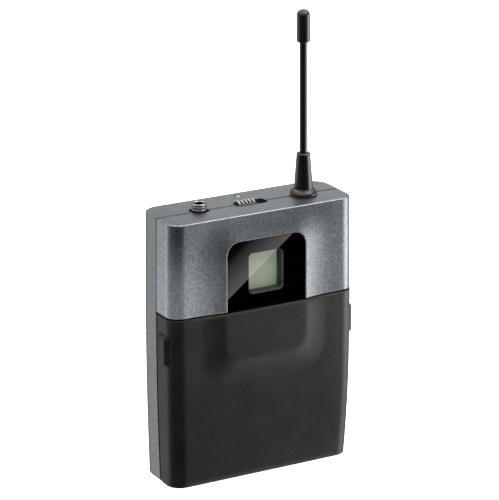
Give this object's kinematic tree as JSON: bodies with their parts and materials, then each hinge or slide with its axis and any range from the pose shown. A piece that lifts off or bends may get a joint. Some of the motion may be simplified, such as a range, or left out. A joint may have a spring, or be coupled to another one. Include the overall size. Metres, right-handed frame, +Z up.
{
  "type": "wireless bodypack transmitter",
  "caption": "Pocket-size case with a whip antenna, threaded audio socket and mute slider on top, a display window, a hinged battery cover with side catches, and a wire belt clip.",
  "frame": {"origin": "on the base plane, midway between the sides and between the front and the back of the case", "axes": "+X across the front from left to right, +Y to the back where the belt clip is, +Z up along the antenna"},
  "size_m": [0.0682, 0.031, 0.1417],
  "materials": {
    "antenna_black": "semi gloss",
    "bezel_olive": "moulded",
    "board_green": "solder resist",
    "brass_part": "turned",
    "cell_sleeve": "printed sleeve",
    "chip_black": "moulded epoxy",
    "cover_black": "fine textured",
    "inner_black": "moulded",
    "key_grey": "soft touch",
    "key_red": "soft touch",
    "lamp_green": "lit green lens",
    "lcd_glass": "pale grey green",
    "light_guide": "diffuse white",
    "mask_black": "printed gloss",
    "nickel": "nickel plated",
    "screw_steel": "blackened steel",
    "silver_paint": "satin metallic lacquer",
    "spring_steel": "bright drawn wire",
    "tinned_steel": "tinned",
    "window_clear": "clear, polished"
  },
  "bodies": {
    "case": {"rear_shell": "silver_paint", "front_shell": "silver_paint", "display_window": "window_clear", "display_mask": "mask_black", "lcd_bezel": "bezel_olive", "lcd_panel": "lcd_glass", "backlight": "light_guide", "display_board": "board_green", "display_connector": "chip_black", "main_board": "board_green", "rf_shield_can": "tinned_steel", "processor_chip": "chip_black", "converter_coil": "chip_black", "status_led": "light_guide", "lamp_lens": "lamp_green", "jack_barrel": "nickel", "jack_body": "inner_black", "jack_contact": "nickel", "mute_switch_body": "tinned_steel", "antenna_boot": "antenna_black", "antenna_whip": "antenna_black", "antenna_tip": "antenna_black", "antenna_ferrule": "brass_part", "battery_tray": "inner_black", "lower_cell": "cell_sleeve", "upper_cell": "cell_sleeve", "lower_coil_contact": "spring_steel", "upper_coil_contact": "spring_steel", "lower_plate_contact": "nickel", "upper_plate_contact": "nickel", "key_panel": "inner_black", "key_board": "board_green", "key_switches": "chip_black", "key_board_connector": "chip_black", "clip_bracket": "cover_black", "case_screws": "screw_steel", "board_screws": "tinned_steel"},
    "battery_cover": {"battery_cover": "cover_black", "cover_hinge_pins": "spring_steel", "left_catch_spring": "spring_steel", "right_catch_spring": "spring_steel"},
    "left_catch": {"left_catch": "cover_black"},
    "right_catch": {"right_catch": "cover_black"},
    "mute_slider": {"switch_knob": "antenna_black"},
    "power_key": {"power_key": "key_red"},
    "set_key": {"set_key": "key_grey"},
    "menu_rocker": {"menu_rocker": "key_grey"},
    "belt_clip": {"belt_clip": "spring_steel"}
  },
  "joints": [
    {"name": "cover_hinge", "type": "hinge", "parent": "case", "child": "battery_cover", "pos_m": [0, -0.0027, 0.0016], "axis": [1, 0, 0], "range_deg": [0, 90], "stiffness_Nm_per_rad": 0.02},
    {"name": "left_catch_press", "type": "slide", "parent": "battery_cover", "child": "left_catch", "axis": [1, 0, 0], "range_m": [0, 0.0012], "stiffness_N_per_m": 300, "deforming": ["left_catch_spring"]},
    {"name": "right_catch_press", "type": "slide", "parent": "battery_cover", "child": "right_catch", "axis": [-1, 0, 0], "range_m": [0, 0.0012], "stiffness_N_per_m": 300, "deforming": ["right_catch_spring"]},
    {"name": "mute_slide", "type": "slide", "parent": "case", "child": "mute_slider", "axis": [1, 0, 0], "range_m": [0, 0.0038]},
    {"name": "power_press", "type": "slide", "parent": "case", "child": "power_key", "axis": [0, 1, 0], "range_m": [0, 0.0003], "stiffness_N_per_m": 500},
    {"name": "set_press", "type": "slide", "parent": "case", "child": "set_key", "axis": [0, 1, 0], "range_m": [0, 0.0003], "stiffness_N_per_m": 500},
    {"name": "menu_rock", "type": "hinge", "parent": "case", "child": "menu_rocker", "pos_m": [0.015, -0.00035, 0.0446], "axis": [1, 0, 0], "range_deg": [-4, 4], "stiffness_Nm_per_rad": 0.01},
    {"name": "clip_spring", "type": "hinge", "parent": "case", "child": "belt_clip", "pos_m": [0, 0.0167, 0.072], "axis": [1, 0, 0], "range_deg": [0, 12], "stiffness_Nm_per_rad": 0.5}
  ]
}
